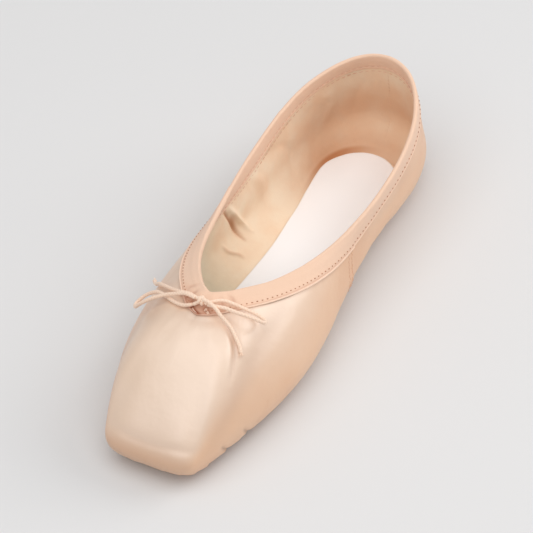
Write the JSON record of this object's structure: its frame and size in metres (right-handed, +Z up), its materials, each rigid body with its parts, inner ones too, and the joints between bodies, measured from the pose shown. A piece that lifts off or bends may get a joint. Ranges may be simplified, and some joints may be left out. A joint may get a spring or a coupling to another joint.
{
  "type": "demi pointe shoe",
  "caption": "Soft satin ballet shoe with a squared toe, a folded drawstring binding with a small cord bow, a tape up the heel and a thin leather sole.",
  "frame": {"origin": "on the floor under the middle of the shoe's length and width", "axes": "-Y towards the toe, +Y towards the heel, +X towards the wearer's left, +Z up"},
  "size_m": [0.0748, 0.2362, 0.0579],
  "materials": {
    "satin": "glossy peach-pink satin weave",
    "lining": "matt cream cotton drill",
    "binding": "matt peach cotton tape",
    "tape": "low-sheen peach ribbon",
    "leather": "smooth matt tan leather",
    "board": "matt off-white lined board",
    "cord": "matt fine braided cotton"
  },
  "bodies": {
    "root": {"upper": "satin", "outsole": "leather", "insole": "board", "collar_binding": "binding", "back_strip": "tape", "bow_knot": "cord", "bow_loop_left": "cord", "bow_loop_right": "cord", "bow_end_left": "cord", "bow_end_right": "cord"}
  },
  "joints": []
}
